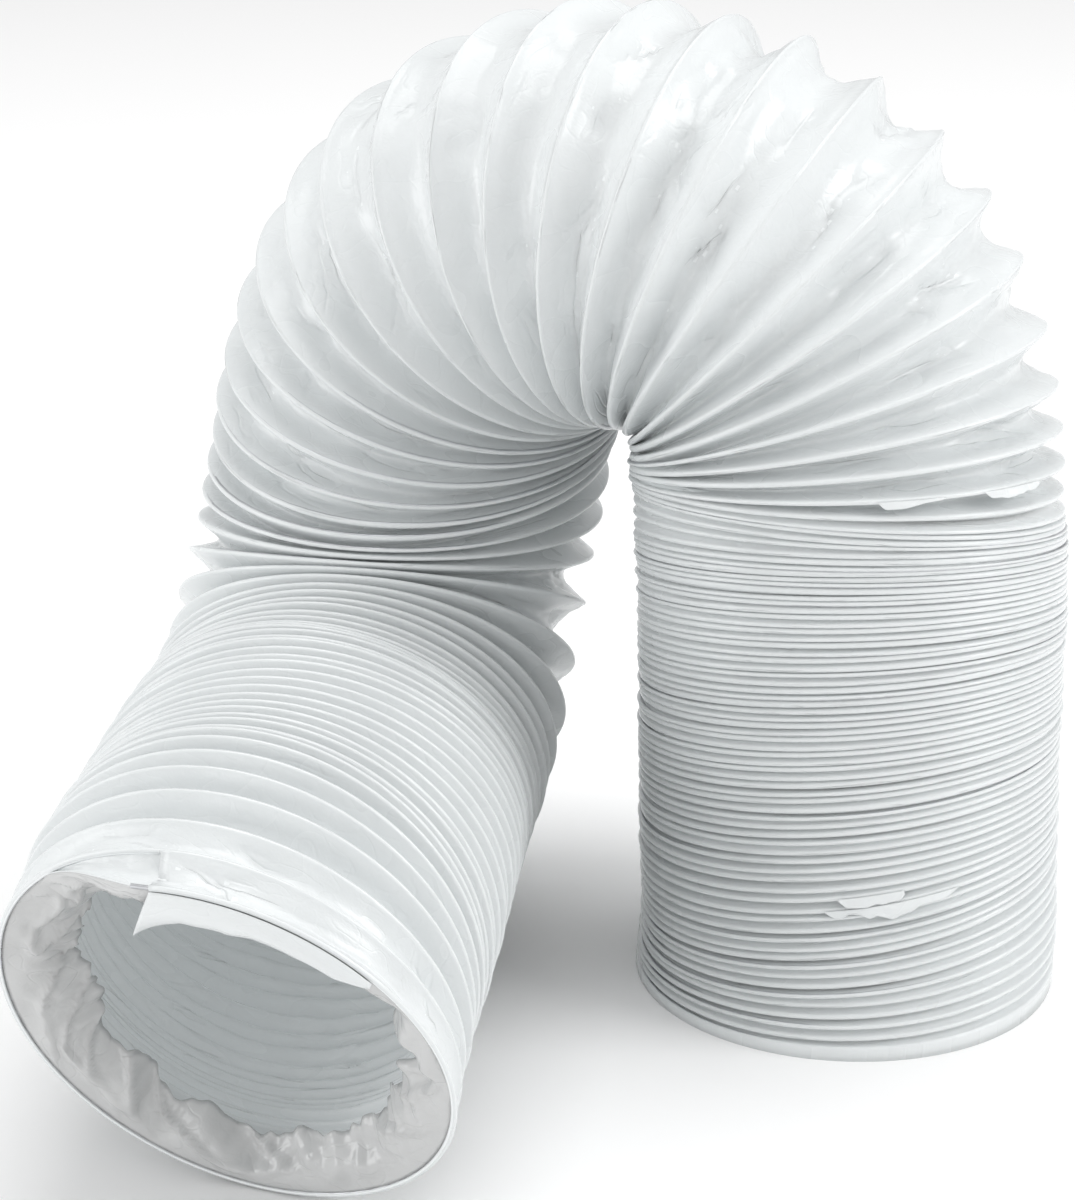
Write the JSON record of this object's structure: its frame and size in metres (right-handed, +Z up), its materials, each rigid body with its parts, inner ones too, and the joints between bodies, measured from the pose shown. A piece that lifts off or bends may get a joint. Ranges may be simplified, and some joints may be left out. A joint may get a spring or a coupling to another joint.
{
  "type": "flexible dryer vent hose",
  "caption": "White flexible vent hose, a ribbed film tube on a spring wire, squeezed into a short column and bent over into an open mouth.",
  "frame": {"origin": "centre of the object's box in X and Y, on the floor that it stands on", "axes": "+Z up; the squeezed column stands on the +X side, and the open mouth looks towards -Y"},
  "size_m": [0.2398, 0.2716, 0.2314],
  "materials": {
    "white_film": "gloss",
    "coated_wire": "satin"
  },
  "bodies": {
    "root": {"film_sleeve": "white_film", "spring_wire": "coated_wire"}
  },
  "joints": []
}
